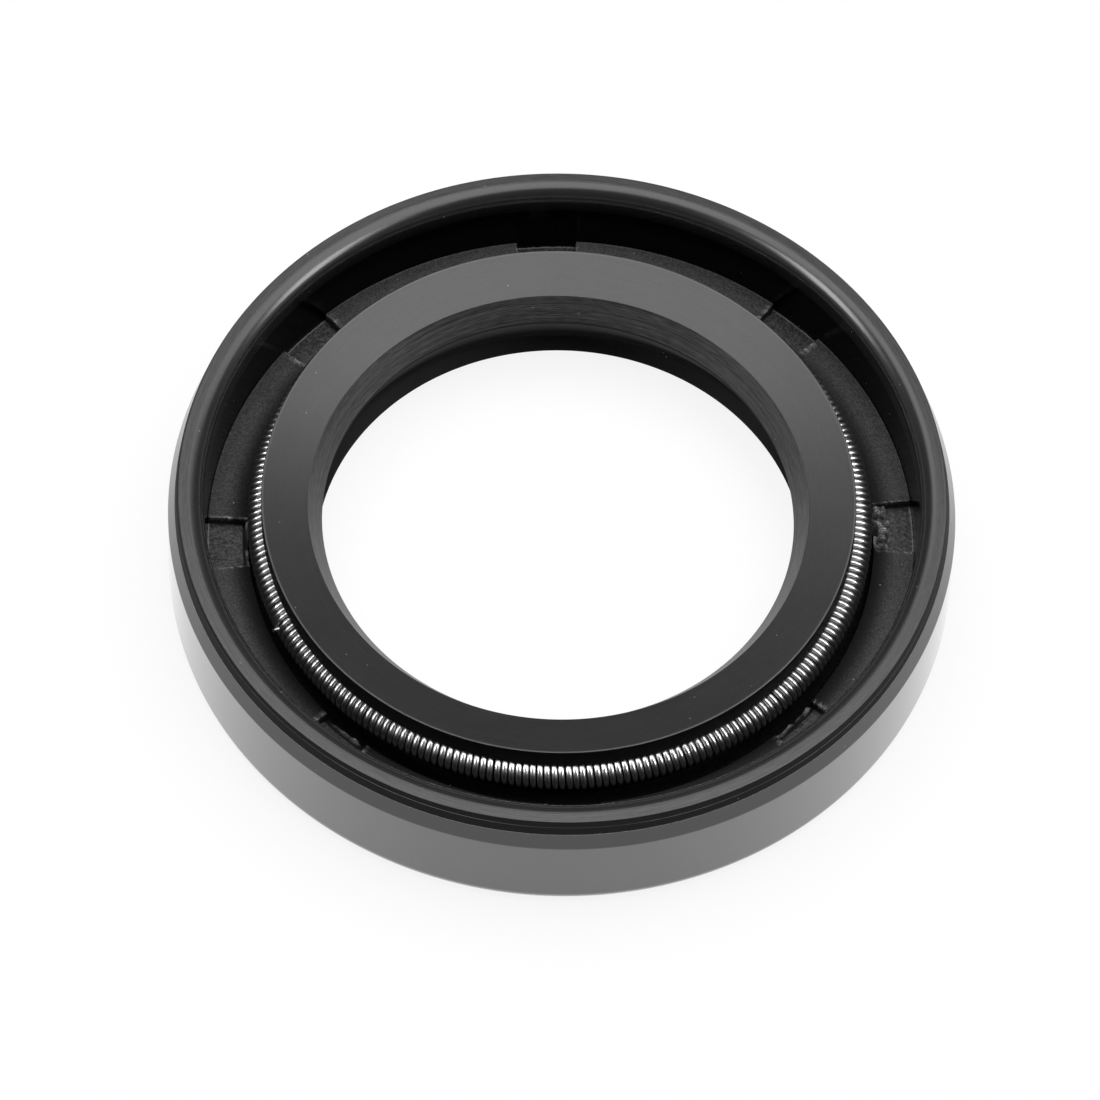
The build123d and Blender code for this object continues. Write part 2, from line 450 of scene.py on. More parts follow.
body_corners = [
    (BACK_INNER_R, 0, 0.12, UNDERSIDE),
    (COVER_R, 0, BACK_ROUNDING, COVER),
    (COVER_R, LEAD_IN_FOOT_Z, 0.1, LEAD_IN),
    (LEAD_IN_TOP_R, LEAD_IN_TOP_Z - PARTING_WIDTH, 0, PARTING_PAINTED_HIGHLIGHT),
    (LEAD_IN_TOP_R + PARTING_HEIGHT, LEAD_IN_TOP_Z - PARTING_WIDTH / 2, 0, PARTING_PAINTED_HIGHLIGHT),
    (LEAD_IN_TOP_R, LEAD_IN_TOP_Z, 0, TRIMMED),
    (TRIM_LINE_FOOT_R, TRIM_LINE_Z - TRIM_LINE_WIDTH, 0, TRIM_LINE_PAINTED_HIGHLIGHT),
    (TRIM_LINE_TOP_R, TRIM_LINE_Z, 0, TRIMMED),
    (RIM_OUTER_R, RIM_OUTER_Z, 0.04, RIM_TOP),
    (RECESS_R + RIM_ROUNDING + ROLLED_EDGE, WIDTH, 0, ROLLED),
    (RECESS_R, WIDTH, RIM_ROUNDING, ROLLED),
    *wall_corners(),
    (RECESS_FOOT_R, FLOOR_Z, 0.08, GRAINED),
    *floor_corners(),
    (HINGE_SIDE_R, FLOOR_Z, SMOOTH, HINGE_PAINTED_SHADE),
    (WEB_INNER_R, FLOOR_Z, 0.08, TROUGH),
    (WEB_INNER_R, TROUGH_Z, 0.3, TROUGH),
    (NECK_R, TROUGH_Z, 0.35, SHADED),
    *groove_corners(),
    (HEAD_OUTER_R, LAND_BOTTOM_Z, 0.03, LAND),
    (HEAD_OUTER_R, HEAD_OUTER_Z, HEAD_ROUNDING, CUT_EDGE),
    (HEAD_OUTER_R - HEAD_ROUNDING - CUT_EDGE_WIDTH, HEAD_OUTER_Z - CUT_EDGE_FALL, 0, GROUND),
    (HEAD_INNER_R, HEAD_INNER_Z, 0.03, TURNED),
    (LIP_EDGE_R, LIP_EDGE_Z + LIP_LAND / 2, 0.04, CONTACT),
    (LIP_EDGE_R, LIP_EDGE_Z - LIP_LAND / 2, 0.04, AIR_SIDE),
    (HOLLOW_R, HOLLOW_Z, 0.35, DUST_LIP),
    (DUST_R, DUST_Z, 0.05, UNDERSIDE),
]
body_rows = section_rows(body_corners)
print(len(body_rows), "rows in the rubber's section")

# %% [markdown]
# ## The lip's lean
# The lip is soft, so it never stands quite true: its head sits a little to one side of the
# spring.  A lattice could push it over.  Here the lean is worked out for each point, and it
# grows up the hinge and fades again down the air side, so that the case stays round.

# %% Lean
LIP_ASIDE = -0.18
LEAN_REACH_R = GROOVE_RING_R + 0.3
LEAN_FULL_Z = SPRING_Z - 0.6


def lean(r, z):
    """How far a point of the section follows the head: 0 at the case, 1 at the head."""
    if r > LEAN_REACH_R or z < TROUGH_Z:
        return 0.0
    return smoothstep((z - TROUGH_Z) / (LEAN_FULL_Z - TROUGH_Z))


print("the head stands", LIP_ASIDE, "mm aside")

# %% [markdown]
# ## Torn rubber round the pockets
# The thin rubber round the pockets is torn.  It stands in a ragged burr along each side and
# in scraps at the inner end, with a whole strip of them in the first pocket.  Noise decides
# where it stands, so no two edges are alike.  It is paler than moulded rubber, partly as torn
# rubber is and partly as a painted highlight along the torn edges.

# %% Tears
TEAR_SIZE = 0.16
SCRAP_SIZE = 2.2
STRIP_WAVE_SIZE = 2
BURR_FROM, BURR_TO = -0.055, -0.01
BURR_HEIGHT = 0.03
SCRAP_FROM = 0.04
FIRST_STRIP, OTHER_STRIP = 0.75, 0.12
STRIP_WAVE = 0.4
TORN_GREY_AND_PAINTED_HIGHLIGHT = 0.3
CLEAR_WALL = 0.12
POCKET_SIDE = 0.03
POCKET_SPARE = 0.03
SCRAP_STANDS = 0.8
FLOOR_REACH_Z = 0.13


def in_pocket(r, z):
    """True on the rows that a pocket lowers."""
    near_floor = abs(z - FLOOR_Z) < FLOOR_REACH_Z
    return near_floor and WEB_INNER_R - 0.01 < r < RECESS_FOOT_R + 0.02


def torn_edge(angle, r):
    """How much torn rubber stands at this point round a pocket, 0 to 1."""
    if r > RECESS_FOOT_R - CLEAR_WALL:
        return 0.0
    inside = pocket_inside(angle)
    place = Vector((r * math.cos(angle), r * math.sin(angle), 0)) / TEAR_SIZE
    if BURR_FROM < inside < BURR_TO:
        return clamped(0.5 + 0.9 * noise.noise(place))
    first_pocket = abs((angle - POCKET_PHASE + math.pi) % math.tau - math.pi) < POCKET_ANGLE
    strip = FIRST_STRIP if first_pocket else OTHER_STRIP
    strip *= 1 + STRIP_WAVE * noise.noise(place / STRIP_WAVE_SIZE)
    if inside > SCRAP_FROM and r < WEB_INNER_R + strip:
        return clamped(0.4 + 1.5 * noise.noise(place / SCRAP_SIZE))
    return 0.0

# %% [markdown]
# ## Points and finishes of the grid
# Each grid point starts on the section.  A pocket lowers it, the trim line sways up and
# down, and the lean pushes it aside.  The trim line is clearer in some places.

# %% Points of the rubber
TRIM_LINE_SWAY = 0.14
TRIM_LINE_LOWEST = math.radians(345)
TRIM_LINE_REACH = 0.1


def body_point(angle, row):
    """The place in mm of a row's point at an angle."""
    r, z, _ = row
    if in_pocket(r, z):
        torn = torn_edge(angle, r)
        sunk = smoothstep(pocket_inside(angle) / POCKET_SIDE / 2 + 0.5)
        z -= (WEB_COVER + POCKET_SPARE) * sunk * (1 - SCRAP_STANDS * torn)
        z += BURR_HEIGHT * torn * (1 - sunk)
    if r > RIM_OUTER_R and abs(z - TRIM_LINE_Z) < TRIM_LINE_REACH:
        z -= TRIM_LINE_SWAY * math.cos(angle - TRIM_LINE_LOWEST)
    x = r * math.cos(angle) + LIP_ASIDE * lean(row[0], row[1])
    return (x, r * math.sin(angle), z)


seal_body = turned_mesh("rubber_body", body_rows, columns, body_point)

# %% Finishes of the rubber
TRIM_LINE_FAINT, TRIM_LINE_NOISE = 0.3, 1.2
TRIM_LINE_WAVES = 3.0
TRIM_LINE_SHIFT = Vector((0.3, 0.9, 0))
CLEAR_PLACES = ((math.radians(315), 0.35, 0.8), (math.radians(240), 0.2, 0.4))


def trim_line_strength(angle):
    """How clear the trim line is at an angle: noise, and the places where it stands out."""
    heading = Vector((math.cos(angle), math.sin(angle), 0))
    wave = noise.noise(heading * TRIM_LINE_WAVES + TRIM_LINE_SHIFT)
    clear = TRIM_LINE_FAINT + TRIM_LINE_NOISE * wave
    for middle, width, strength in CLEAR_PLACES:
        clear += strength * math.exp(-(((angle - middle) / width) ** 2))
    return clamped(clear, 0.05)


def finish_at(angle, row):
    """The row's finish, paler where rubber is torn and uneven along the trim line; both pale greys
    are partly painted highlight.
    """
    r, z, given = row
    if in_pocket(r, z):
        # torn rubber's pale grey: partly its own, partly a painted highlight on the edges
        return with_grey(given, given[0] + TORN_GREY_AND_PAINTED_HIGHLIGHT * torn_edge(angle, r) ** 2)
    if given == TRIM_LINE_PAINTED_HIGHLIGHT:
        # the trim line's pale grey, partly a painted highlight, is stronger in some places
        return with_grey(given, given[0] * trim_line_strength(angle))
    return given


finishes = [finish_at(angle, row) for angle in columns for row in body_rows]
for i, label in enumerate(FINISH_VALUES):
    values = [given[i] for given in finishes]
    seal_body.data.attributes.new(label, "FLOAT", "POINT").data.foreach_set("value", values)

# slot 0 is moulded rubber, 1 is cut or dull, and 2 has a second gloss
row_slots = [
    2 if row[2] in COVER_FINISHES else int(row[2] in CUT_FINISHES) for row in body_rows
]
for face in seal_body.data.polygons:
    face.material_index = row_slots[face.index % len(body_rows)]
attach(seal_body, "root")
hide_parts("seal_body")
print("slots", {slot: row_slots.count(slot) for slot in set(row_slots)}, "rows")

# %% [markdown]
# ## The steel case
# The case is pressed from sheet, with a bent corner.  Only the web shows, at the foot of
# the pockets, where its bonding coat is gritty.  Displacement over the whole case would
# cost millions of faces, so only the web's top gets fine rows, and only under the pockets
# fine columns, with a grit of real height.

# %% Grid of the steel
CASE_BEND = 1.2
GRIT_COLUMNS = 56
GRIT_ROWS = 9
LONG_STRETCH = 0.1
PLAIN_STEEL_COLUMNS = 96


def steel_columns():
    """The angles of the steel's columns, close together under each pocket."""
    angles = spaced(PLAIN_STEEL_COLUMNS)
    for middle in spaced(POCKET_COUNT, POCKET_PHASE):
        first = middle - POCKET_ANGLE / 2
        for k in range(GRIT_COLUMNS + 1):
            angles.append((first + POCKET_ANGLE * k / GRIT_COLUMNS) % (2 * math.pi))
    return sorted(angles)


def steel_rows():
    """The L-section's rows, each with 1 on the web's top and 0 elsewhere."""
    corners = [
        (CASE_HOLE_R, WEB_BOTTOM_Z, 0.05, 0),
        (CASE_OUTER_R, WEB_BOTTOM_Z, CASE_BEND, 0),
        (CASE_OUTER_R, CASE_TOP_Z, 0.05, 0),
        (CASE_INNER_R, CASE_TOP_Z, 0.05, 0),
        (CASE_INNER_R, WEB_TOP_Z, CASE_BEND - STEEL_THICKNESS, 1),
        (CASE_HOLE_R, WEB_TOP_Z, 0.05, 0),
    ]
    rows = []
    plain = section_rows(corners)
    for i, (r, z, on_web) in enumerate(plain):
        rows.append((r, z, on_web))
        r_next = plain[(i + 1) % len(plain)][0]
        if on_web and r - r_next > LONG_STRETCH:
            rows += [(r + (r_next - r) * k / GRIT_ROWS, z, 1) for k in range(1, GRIT_ROWS)]
    return rows


print(len(steel_columns()), "columns and", len(steel_rows()), "rows in the steel")

# %% Steel case
GRIT_HEIGHT = 0.03
GRIT_SIZE = 0.14
GRIT_CAP = 0.3
GRIT_FADE, GRIT_FINER, GRIT_LAYERS = 0.6, 2.2, 3


def steel_point(angle, row):
    """The place in mm of a row's point at an angle, with grit on the web's top."""
    r, z, on_web = row
    place = Vector((r * math.cos(angle), r * math.sin(angle), z))
    if on_web:
        grit = noise.fractal(place / GRIT_SIZE, GRIT_FADE, GRIT_FINER, GRIT_LAYERS)
        place.z += GRIT_HEIGHT * min(grit, GRIT_CAP)
    return place


steel_case = turned_mesh("pressed_case", steel_rows(), steel_columns(), steel_point)
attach(steel_case, "root")
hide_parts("steel_case")

# %% [markdown]
# ## The garter spring
# A garter spring is one wire wound into a long close coil, with its two ends screwed
# together into a ring.  Its line is a rule: one angle goes round the ring while another
# goes round the coil, 270 times as fast.  Geometry Nodes work that rule out for every
# point of a line, turn the line into a closed curve and give it the wire's section.
# The helpers below keep the trees short: one makes a node with its sockets set or linked,
# and the others make the sums that the trees are full of.

# %% Node helpers
def new_tree(name, inputs):
    """A geometry node tree with named inputs: (name, socket type, value)."""
    tree = bpy.data.node_groups.new(name, "GeometryNodeTree")
    for label, kind, value in inputs:
        socket = tree.interface.new_socket(label, in_out="INPUT", socket_type=kind)
        if value is not None:
            socket.default_value = value
    tree.interface.new_socket("Geometry", in_out="OUTPUT", socket_type="NodeSocketGeometry")
    return tree


def node(tree, kind, settings=(), **sockets):
    """A node with its settings, and its inputs set to a value or linked to an output.

    A socket is given by its name, with _ for a space, or by its number, as in _0.
    """
    made = tree.nodes.new(kind)
    for key, value in dict(settings).items():
        setattr(made, key, value)
    for key, value in sockets.items():
        at = int(key[1:]) if key[1:].isdigit() else key.replace("_", " ")
        if isinstance(value, bpy.types.NodeSocket):
            tree.links.new(value, made.inputs[at])
        else:
            made.inputs[at].default_value = value
    return made


def math_node(tree, operation, a, b=0.0, c=0.0):
    return node(tree, "ShaderNodeMath", {"operation": operation}, _0=a, _1=b, _2=c).outputs[0]


def blend(tree, factor, a, b):
    """A value that goes from a to b as the factor goes from 0 to 1."""
    return node(tree, "ShaderNodeMix", {"data_type": "FLOAT"}, _0=factor, _2=a, _3=b).outputs[0]


def combined(tree, **axes):
    """A vector from its X, Y and Z."""
    return node(tree, "ShaderNodeCombineXYZ", **axes).outputs[0]

# %% Wire on a coil
WIRE_SIDES = 14

COIL_INPUTS = [
    ("Ring Radius", "NodeSocketFloat", 1.0),
    ("Coil Radius", "NodeSocketFloat", 0.1),
    ("Height", "NodeSocketFloat", 0.0),
    ("Wire Radius", "NodeSocketFloat", 0.01),
    ("Joint Angle", "NodeSocketFloat", 0.0),
    ("Material", "NodeSocketMaterial", None),
]


def coil_point(tree, given, along, around, coil_radius):
    """Where the wire is: one angle goes along the ring, the other down round the coil."""
    reach = math_node(tree, "MULTIPLY", coil_radius, math_node(tree, "SINE", around))
    reach = math_node(tree, "ADD", given["Ring Radius"], reach)
    rise = math_node(tree, "MULTIPLY", coil_radius, math_node(tree, "COSINE", around))
    return combined(
        tree,
        X=math_node(tree, "MULTIPLY", reach, math_node(tree, "COSINE", along)),
        Y=math_node(tree, "MULTIPLY", reach, math_node(tree, "SINE", along)),
        Z=math_node(tree, "ADD", given["Height"], rise),
    )


def wire_output(tree, given, line, point, cyclic):
    """Turn a mesh line into wire: a curve through the points with a round section."""
    placed = node(tree, "GeometryNodeSetPosition", Geometry=line.outputs[0], Position=point)
    wire = node(tree, "GeometryNodeMeshToCurve", Mesh=placed.outputs[0])
    spline = node(tree, "GeometryNodeSetSplineCyclic", Geometry=wire.outputs[0], Cyclic=cyclic)
    section = node(
        tree, "GeometryNodeCurvePrimitiveCircle", Resolution=WIRE_SIDES, Radius=given["Wire Radius"]
    )
    skin = node(
        tree,
        "GeometryNodeCurveToMesh",
        Curve=spline.outputs[0],
        Profile_Curve=section.outputs[0],
        Fill_Caps=True,
    )
    smooth = node(tree, "GeometryNodeSetShadeSmooth", Geometry=skin.outputs[0])
    real = node(tree, "GeometryNodeRealizeInstances", Geometry=smooth.outputs[0])
    done = node(
        tree, "GeometryNodeSetMaterial", Geometry=real.outputs[0], Material=given["Material"]
    )
    out = tree.nodes.new("NodeGroupOutput")
    tree.links.new(done.outputs[0], out.inputs[0])

# %% [markdown]
# Nobody winds a spring quite evenly.  In the coil's tree a slow noise lets the turns wander
# along the ring.  At the joint they crowd together, with a little room on each side.

# %% Coil tree
WANDER_SCALE = 22.0


def joint_shift(tree, even, given):
    """How far the turns near the joint move along the ring."""
    off = math_node(tree, "SUBTRACT", even, given["Joint Angle"])
    near = math_node(tree, "DIVIDE", off, given["Joint Spread"])
    near = math_node(tree, "MULTIPLY", near, near)
    near = math_node(tree, "EXPONENT", math_node(tree, "MULTIPLY", near, -1.0))
    return math_node(tree, "MULTIPLY", math_node(tree, "MULTIPLY", off, near), given["Joint Pull"])


def spring_tree():
    """The whole coil: a line of points, each placed by the rule, closed into a ring."""
    tree = new_tree(
        "garter_coil",
        [
            ("Turns", "NodeSocketInt", 10),
            ("Steps", "NodeSocketInt", 16),
            ("Wander", "NodeSocketFloat", 0.01),
            ("Joint Spread", "NodeSocketFloat", 0.01),
            ("Joint Pull", "NodeSocketFloat", 0.0),
            ("Seed", "NodeSocketFloat", 0.0),
            *COIL_INPUTS,
        ],
    )
    given = tree.nodes.new("NodeGroupInput").outputs
    count = math_node(tree, "MULTIPLY", given["Turns"], given["Steps"])
    line = node(tree, "GeometryNodeMeshLine", {"mode": "OFFSET"}, Count=count)
    index = tree.nodes.new("GeometryNodeInputIndex").outputs[0]
    even = math_node(tree, "MULTIPLY", math_node(tree, "DIVIDE", index, count), math.tau)
    around = math_node(tree, "MULTIPLY", even, given["Turns"])
    heading = combined(
        tree,
        X=math_node(tree, "COSINE", even),
        Y=math_node(tree, "SINE", even),
        Z=given["Seed"],
    )
    wander = node(tree, "ShaderNodeTexNoise", Vector=heading, Scale=WANDER_SCALE, Detail=1.0)
    drift = math_node(tree, "SUBTRACT", wander.outputs[0], 0.5)
    drift = math_node(tree, "MULTIPLY", drift, given["Wander"])
    along = math_node(tree, "ADD", even, drift)
    along = math_node(tree, "ADD", along, joint_shift(tree, even, given))
    point = coil_point(tree, given, along, around, given["Coil Radius"])
    wire_output(tree, given, line, point, True)
    return tree


garter_coil = spring_tree()
print(garter_coil.name, "has", len(garter_coil.nodes), "nodes")

# %% [markdown]
# At the joint the cut end of the wire lifts off the coil and lies along the turns.  It
# follows the same rule over a part of one turn, on a radius that swells in the middle.

# %% Wire end tree
def wire_end_tree():
    """The cut end of the wire: it leaves the coil at the joint and lies along the turns."""
    tree = new_tree(
        "wire_end",
        [
            ("Steps", "NodeSocketInt", 16),
            ("Length", "NodeSocketFloat", 0.03),
            ("First Angle", "NodeSocketFloat", 1.0),
            ("Last Angle", "NodeSocketFloat", 1.7),
            ("Stand Off", "NodeSocketFloat", 0.1),
            *COIL_INPUTS,
        ],
    )
    given = tree.nodes.new("NodeGroupInput").outputs
    line = node(tree, "GeometryNodeMeshLine", {"mode": "OFFSET"}, Count=given["Steps"])
    index = tree.nodes.new("GeometryNodeInputIndex").outputs[0]
    last = math_node(tree, "SUBTRACT", given["Steps"], 1.0)
    share = math_node(tree, "DIVIDE", index, last)
    around = blend(tree, share, given["First Angle"], given["Last Angle"])
    along = math_node(tree, "MULTIPLY_ADD", share, given["Length"], given["Joint Angle"])
    swell = math_node(tree, "SINE", math_node(tree, "MULTIPLY", share, math.pi))
    swell = math_node(tree, "MULTIPLY_ADD", swell, given["Stand Off"], given["Coil Radius"])
    wire_output(tree, given, line, coil_point(tree, given, along, around, swell), False)
    return tree


wire_end_curve = wire_end_tree()
print(wire_end_curve.name, "has", len(wire_end_curve.nodes), "nodes")

# %% From tree to piece
def grown(name, tree, **values):
    """A plain mesh piece from a tree, with its modifier applied and removed."""
    holder = add_object(name + "_holder", bpy.data.meshes.new(name + "_holder"))
    modifier = holder.modifiers.new("tree", "NODES")
    modifier.node_group = tree
    for item in tree.interface.items_tree:
        key = item.name.replace(" ", "_").lower()
        if item.in_out == "INPUT" and key in values:
            modifier[item.identifier] = values[key]
    ready = holder.evaluated_get(bpy.context.evaluated_depsgraph_get())
    mesh = bpy.data.meshes.new_from_object(ready)
    mesh.name = name
    holder.modifiers.remove(modifier)
    bpy.data.objects.remove(holder)
    print(name, "has", len(mesh.polygons) * 2, "triangles")
    return add_object(name, mesh)


# %% Spring
SPRING_TURNS = 270
SPRING_STEPS = 24
SPRING_WANDER = 0.006
SPRING_SEED = 3.0
SPRING_ASIDE = Vector((-0.08, 0.147, 0))
SPRING_RING_R = GROOVE_RING_R + 0.09
WIRE_R = 0.152
JOINT_ANGLE = math.radians(206.0)
JOINT_SPREAD = math.radians(1.6)
JOINT_PULL = -0.15

spring_wire = bpy.data.materials.new("spring_wire")
coil = {
    "ring_radius": SPRING_RING_R * MM,
    "coil_radius": (SPRING_R - WIRE_R) * MM,
    "height": SPRING_Z * MM,
    "material": spring_wire,
}
garter_spring = grown(
    "garter_spring_coil",
    garter_coil,
    turns=SPRING_TURNS,
    steps=SPRING_STEPS,
    wander=SPRING_WANDER,
    wire_radius=WIRE_R * MM,
    joint_angle=JOINT_ANGLE,
    joint_spread=JOINT_SPREAD,
    joint_pull=JOINT_PULL,
    seed=SPRING_SEED,
    **coil,
)

# %% Wire end
WIRE_END_ANGLE = math.radians(207.3)
WIRE_END_LENGTH = math.radians(0.9)
WIRE_END_STEPS = 20
WIRE_END_FIRST = math.radians(92)
WIRE_END_LAST = math.radians(66)
WIRE_END_STAND_OFF = 0.3
WIRE_END_R = 0.1

wire_end = grown(
    "spring_wire_end",
    wire_end_curve,
    steps=WIRE_END_STEPS,
    wire_radius=WIRE_END_R * MM,
    joint_angle=WIRE_END_ANGLE,
    length=WIRE_END_LENGTH,
    first_angle=WIRE_END_FIRST,
    last_angle=WIRE_END_LAST,
    stand_off=WIRE_END_STAND_OFF * MM,
    **coil,
)
for piece in (garter_spring, wire_end):
    piece.data.transform(Matrix.Translation(SPRING_ASIDE * MM))
    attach(piece, "root")
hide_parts("garter_spring")

# %% [markdown]
# ## Effects that the materials share
# Mould grain, dust and turning marks are shader groups, built once and placed in each
# material with its own sizes.  A group gives out plain heights and masks, and each
# material decides what to do with them.  All of them read Object coordinates in metres,
# so a size in millimetres means the same on every piece.

# %% Group helpers
def shader_group(name, inputs, outputs):
    """An empty shader node group with float inputs (name, value) and float outputs."""
    group = bpy.data.node_groups.new(name, "ShaderNodeTree")
    kind = "NodeSocketFloat"
    for label, value in inputs:
        socket = group.interface.new_socket(label, in_out="INPUT", socket_type=kind)
        socket.default_value = value
    for label in outputs:
        group.interface.new_socket(label, in_out="OUTPUT", socket_type=kind)
    given = group.nodes.new("NodeGroupInput").outputs
    return group, given, group.nodes.new("NodeGroupOutput").inputs


def object_place(tree):
    """The point on the piece, in metres."""
    return tree.nodes.new("ShaderNodeTexCoord").outputs["Object"]


def scale_of(tree, size):
    """The texture scale at which a size is in millimetres."""
    return math_node(tree, "DIVIDE", 1 / MM, size)


def axis_radius(tree, axes):
    """The distance from the seal's axis, from the X and Y of a place."""
    flat = combined(tree, X=axes[0], Y=axes[1])
    return node(tree, "ShaderNodeVectorMath", {"operation": "LENGTH"}, _0=flat).outputs["Value"]

# %% Mould grain
def grain_group():
    """Mould grain: a fine pebbled height, the same with more contrast, and slow clouds."""
    group, given, out = shader_group(
        "mould_grain", [("Size", 0.1), ("Clouds", 2.0)], ["Height", "Grit", "Clouds"]
    )
    place = object_place(group)
    fine_scale = scale_of(group, given["Size"])
    slow_scale = scale_of(group, given["Clouds"])
    fine = node(
        group, "ShaderNodeTexNoise", Vector=place, Scale=fine_scale, Detail=3.0, Roughness=0.6
    )
    slow = node(
        group, "ShaderNodeTexNoise", Vector=place, Scale=slow_scale, Detail=4.0, Roughness=0.6
    )
    grit = node(group, "ShaderNodeMapRange", Value=fine.outputs[0], From_Min=0.4, From_Max=0.6)
    group.links.new(fine.outputs[0], out["Height"])
    group.links.new(grit.outputs[0], out["Grit"])
    group.links.new(slow.outputs[0], out["Clouds"])
    return group


mould_grain = grain_group()
print(mould_grain.name, "gives", len(mould_grain.interface.items_tree) - 2, "outputs")

# %% Dust specks
def speck_group():
    """Lint and dust: a few tiny pale specks."""
    group, given, out = shader_group("dust_specks", [("Spacing", 1.0), ("Size", 0.1)], ["Mask"])
    cells = node(
        group,
        "ShaderNodeTexVoronoi",
        {"feature": "F1"},
        Vector=object_place(group),
        Scale=scale_of(group, given["Spacing"]),
    )
    near = math_node(group, "LESS_THAN", cells.outputs["Distance"], given["Size"])
    group.links.new(near, out["Mask"])
    return group


dust_specks = speck_group()
print(dust_specks.name, "is ready")

# %% Ring marks
def ring_marks_group():
    """Lines that run round the axis, as turning and grinding leave them.

    The noise is squeezed across the lines, on the radius plus the height, so that it marks
    flats and cones alike, and stretched along them.
    """
    group, given, out = shader_group(
        "ring_marks", [("Spacing", 0.05), ("Length", 5.0)], ["Height"]
    )
    axes = node(group, "ShaderNodeSeparateXYZ", Vector=object_place(group)).outputs
    across = math_node(group, "ADD", axis_radius(group, axes), axes[2])
    along_scale = scale_of(group, given["Length"])
    at = combined(
        group,
        X=math_node(group, "MULTIPLY", axes[0], along_scale),
        Y=math_node(group, "MULTIPLY", axes[1], along_scale),
        Z=math_node(group, "MULTIPLY", across, scale_of(group, given["Spacing"])),
    )
    marks = node(group, "ShaderNodeTexNoise", Vector=at, Scale=1.0, Detail=2.0)
    group.links.new(marks.outputs[0], out["Height"])
    return group


ring_marks = ring_marks_group()
print(ring_marks.name, "is ready")

# %% [markdown]
# ## Rubber
# Black rubber is nearly all surface: where the mould was polished it mirrors the dark
# recess and looks black, and where it was blasted or ground it scatters light and looks
# grey.  So the finish numbers on the mesh steer roughness and colour together.  A number
# that is the same all over, such as the gloss, has to be set on the shader itself, so the
# stretches with another gloss get a material of their own, made by the same function: the
# cover and its lead-in cone with a second gloss, and the cut and shaded stretches dull.

# %% Material helpers
def use_group(tree, group, **values):
    """A shader group placed in a material, with its own values."""
    made = node(tree, "ShaderNodeGroup", {"node_tree": group})
    for key, value in values.items():
        made.inputs[key.capitalize()].default_value = value
    return made


def grey(tree, value):
    """A colour from one level."""
    return node(tree, "ShaderNodeCombineColor", _0=value, _1=value, _2=value).outputs[0]


def shader_tree(material):
    """A material's node tree and its shader."""
    material.use_nodes = True
    tree = material.node_tree
    return tree, tree.nodes["Principled BSDF"]


def add_relief(tree, shader, height, strength, depth):
    """Fine relief on the shader's normal, with its depth in mm."""
    bump = node(tree, "ShaderNodeBump", Strength=strength, Distance=depth * MM, Height=height)
    tree.links.new(bump.outputs[0], shader.inputs["Normal"])


print("helpers for materials are ready")

# %% Rubber
RUBBER_IOR = 1.52
SECOND_GLOSS_ROUGHNESS = 0.1
BUMP_DEPTH = 0.006
LUMP_DEPTH, LINE_DEPTH = 6.0, 1.2
CLOUD_TONES, GRIT_TONES, COARSE_TONES = (0.8, 1.2), (-0.1, 0.1), (-0.5, 0.5)
LINE_CONTRAST = 4.5
LOWEST_TONE = 0.1
SPECK_SPACING, SPECK_SIZE, SPECK_GREY = 1.1, 0.036, 0.22


def rubber_textures(tree):
    """The textures of all rubber: fine grain, coarse lumps, and turned and ground lines."""
    fine = use_group(tree, mould_grain, size=0.08, clouds=2.5)
    lumps = use_group(tree, mould_grain, size=0.25, clouds=0.6)
    turned = use_group(tree, ring_marks, spacing=0.07, length=7.0)
    ground = use_group(tree, ring_marks, spacing=0.05, length=0.7)
    marks = math_node(tree, "ADD", turned.outputs["Height"], ground.outputs["Height"])
    return fine.outputs, lumps.outputs, marks


def rubber_material(name, mirror, coat=0.0):
    """Black rubber.

    mirror is how much of rubber's full gloss the surface keeps, 0 to 1, and coat is how
    much of a second, smoother gloss lies over it.
    """
    material = bpy.data.materials.new(name)
    tree, shader = shader_tree(material)
    grey_level, rough, pebble, lines, coarse = (
        node(tree, "ShaderNodeAttribute", {"attribute_name": label}).outputs["Fac"]
        for label in FINISH_VALUES
    )
    fine, lumps, marks = rubber_textures(tree)
    height = math_node(tree, "MULTIPLY", fine["Height"], pebble)
    for value, level, strength in (
        (lumps["Height"], coarse, LUMP_DEPTH),
        (marks, lines, LINE_DEPTH),
    ):
        part = math_node(tree, "MULTIPLY", value, math_node(tree, "MULTIPLY", level, strength))
        height = math_node(tree, "ADD", height, part)
    add_relief(tree, shader, height, 1.0, BUMP_DEPTH)
    clouded = blend(tree, fine["Clouds"], *CLOUD_TONES)
    speckled = blend(tree, fine["Grit"], *GRIT_TONES)
    gritty = blend(tree, fine["Grit"], *COARSE_TONES)
    streaky = math_node(tree, "SUBTRACT", marks, 1.0)
    streaky = math_node(tree, "MULTIPLY", streaky, LINE_CONTRAST)
    tone = math_node(tree, "ADD", clouded, speckled)
    tone = math_node(tree, "ADD", tone, math_node(tree, "MULTIPLY", gritty, coarse))
    tone = math_node(tree, "ADD", tone, math_node(tree, "MULTIPLY", streaky, lines))
    tone = math_node(tree, "MAXIMUM", tone, LOWEST_TONE)
    base = math_node(tree, "MULTIPLY", grey_level, tone)
    specks = use_group(tree, dust_specks, spacing=SPECK_SPACING, size=SPECK_SIZE)
    base = blend(tree, specks.outputs["Mask"], base, SPECK_GREY)
    tree.links.new(grey(tree, base), shader.inputs["Base Color"])
    tree.links.new(rough, shader.inputs["Roughness"])
    shader.inputs["IOR"].default_value = RUBBER_IOR
    shader.inputs["Specular IOR Level"].default_value = mirror / 2
    shader.inputs["Coat Weight"].default_value = coat
    shader.inputs["Coat Roughness"].default_value = SECOND_GLOSS_ROUGHNESS
    return material


